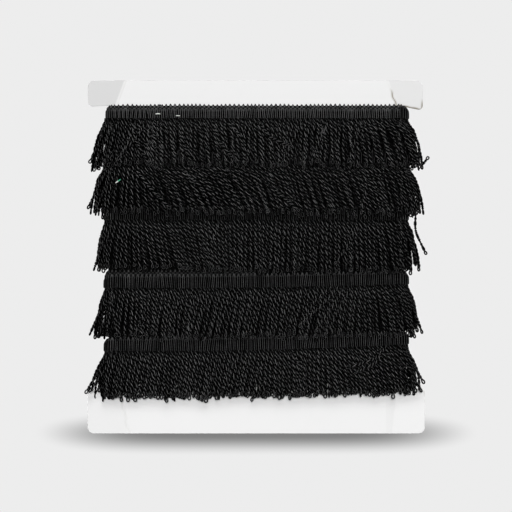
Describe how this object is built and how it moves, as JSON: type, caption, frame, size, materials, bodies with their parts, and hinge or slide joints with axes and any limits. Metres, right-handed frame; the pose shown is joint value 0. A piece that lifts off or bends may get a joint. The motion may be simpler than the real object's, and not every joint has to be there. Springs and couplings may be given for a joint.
{
  "type": "looped fringe trim wound on a card",
  "caption": "Black bullion fringe, a woven heading with a skirt of twisted loops, wound in overlapping tiers round a notched white card that lies flat.",
  "frame": {"origin": "the middle of the card, at the height of the surface that the winding rests on", "axes": "+X to the right across the card's face, +Y up the face towards its upper edge, +Z out of the face, away from the surface it lies on"},
  "size_m": [0.2704, 0.2824, 0.0192],
  "materials": {
    "card_board": "matt white paperboard",
    "fringe_yarn": "black twisted yarn with a low sheen"
  },
  "bodies": {
    "root": {"card": "card_board", "trim": "fringe_yarn", "upper_turn": "fringe_yarn", "under_turns": "fringe_yarn"}
  },
  "joints": []
}
